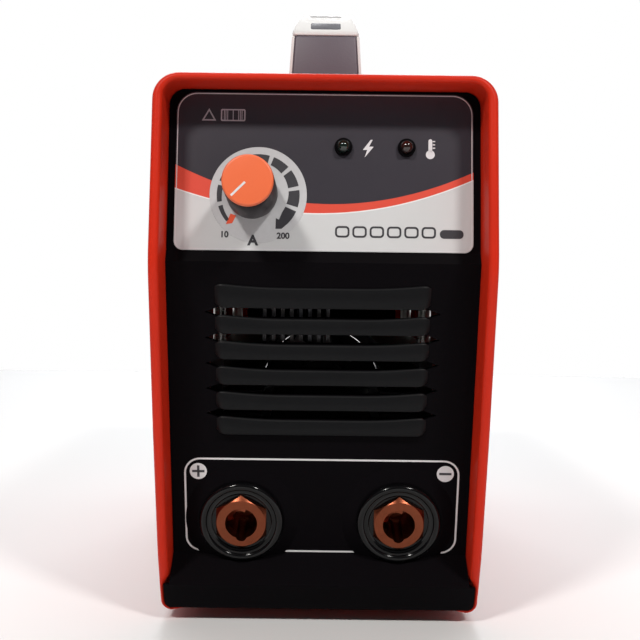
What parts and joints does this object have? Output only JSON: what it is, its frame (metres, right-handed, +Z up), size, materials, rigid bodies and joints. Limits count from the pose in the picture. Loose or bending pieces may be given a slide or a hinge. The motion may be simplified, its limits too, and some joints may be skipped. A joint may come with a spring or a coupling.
{
  "type": "stick welding inverter",
  "caption": "Compact portable arc-welding power source with a hooded front, current knob, two brass output sockets, louvre and top carrying handle.",
  "frame": {"origin": "centre of the bounding box's base, on the surface the feet stand on", "axes": "+X to the right of a person facing the front, front faces -Y, +Z up"},
  "size_m": [0.13, 0.3252, 0.262],
  "materials": {
    "red_moulding": "satin red moulded plastic",
    "red_paint": "satin red powder coat on steel sheet",
    "black_moulding": "fine-textured black plastic",
    "socket_black": "glossy black thermoset",
    "printed_film": "printed plastic film",
    "ring_print": "light grey print",
    "knob_orange": "satin orange plastic",
    "pointer_white": "white",
    "handle_dark": "dark grey plastic",
    "handle_light": "silver grey plastic",
    "brass_contact": "turned brass",
    "copper": "tinned copper bar",
    "zinc_steel": "zinc plated",
    "galvanised": "galvanised sheet",
    "chrome_wire": "plated wire",
    "rubber_black": "black rubber",
    "lens_green": "green lens, unlit",
    "lens_amber": "amber-red lens, unlit",
    "circuit_board": "green solder mask",
    "heatsink_metal": "extruded aluminium",
    "ferrite": "ferrite",
    "winding": "enamelled copper",
    "fan_plastic": "black fan plastic",
    "capacitor_sleeve": "dark sleeve",
    "rocker_red": "red rocker"
  },
  "bodies": {
    "case": {"front_bezel": "red_moulding", "rear_bezel": "red_moulding", "main_cover": "red_paint", "front_panel": "black_moulding", "rear_panel": "black_moulding", "control_label": "printed_film", "dial_ring": "ring_print", "led_holders": "black_moulding", "power_led": "lens_green", "overheat_led": "lens_amber", "potentiometer": "zinc_steel", "control_board": "circuit_board", "positive_socket_body": "socket_black", "positive_contact": "brass_contact", "positive_socket_nut": "socket_black", "busbar_positive": "copper", "negative_socket_body": "socket_black", "negative_contact": "brass_contact", "negative_socket_nut": "socket_black", "busbar_negative": "copper", "stud_nuts": "zinc_steel", "base_tray": "galvanised", "cover_screws": "zinc_steel", "feet": "rubber_black", "foot_screws": "zinc_steel", "handle_body": "handle_dark", "handle_grip": "handle_light", "handle_trim": "handle_dark", "handle_screws": "zinc_steel", "handle_gaskets": "rubber_black", "rear_panel_screws": "zinc_steel", "fan_screws": "zinc_steel", "fan_frame": "fan_plastic", "fan_guard": "chrome_wire", "power_switch_frame": "socket_black", "cable_gland_body": "black_moulding", "cable_gland_nut": "black_moulding", "gland_locknut": "black_moulding", "earth_stud": "brass_contact", "earth_nuts": "brass_contact", "main_board": "circuit_board", "driver_board": "circuit_board", "board_standoffs": "zinc_steel", "left_heatsink": "heatsink_metal", "right_heatsink": "heatsink_metal", "upper_heatsink": "heatsink_metal", "transformer_core": "ferrite", "transformer_winding": "winding", "output_choke": "winding", "capacitors": "capacitor_sleeve", "power_transistors": "black_moulding", "output_diodes": "black_moulding", "bridge_rectifier": "black_moulding", "soft_start_relay": "black_moulding"},
    "current_knob": {"pot_shaft": "zinc_steel", "knob_skirt": "socket_black", "knob_cap": "knob_orange", "knob_pointer": "pointer_white"},
    "fan": {"fan_rotor": "fan_plastic"},
    "switch": {"switch_rocker": "rocker_red"}
  },
  "joints": [
    {"name": "knob_turn", "type": "hinge", "parent": "case", "child": "current_knob", "pos_m": [-0.0278, -0.13475, 0.1733], "axis": [0, -0.9938, 0.1115], "range_deg": [-270, 0]},
    {"name": "fan_spin", "type": "hinge", "parent": "case", "child": "fan", "pos_m": [0, 0.1155, 0.074], "axis": [0, 1, 0], "continuous": true},
    {"name": "switch_rock", "type": "hinge", "parent": "case", "child": "switch", "pos_m": [0.024, 0.1305, 0.182], "axis": [1, 0, 0], "range_deg": [0, 22]}
  ]
}
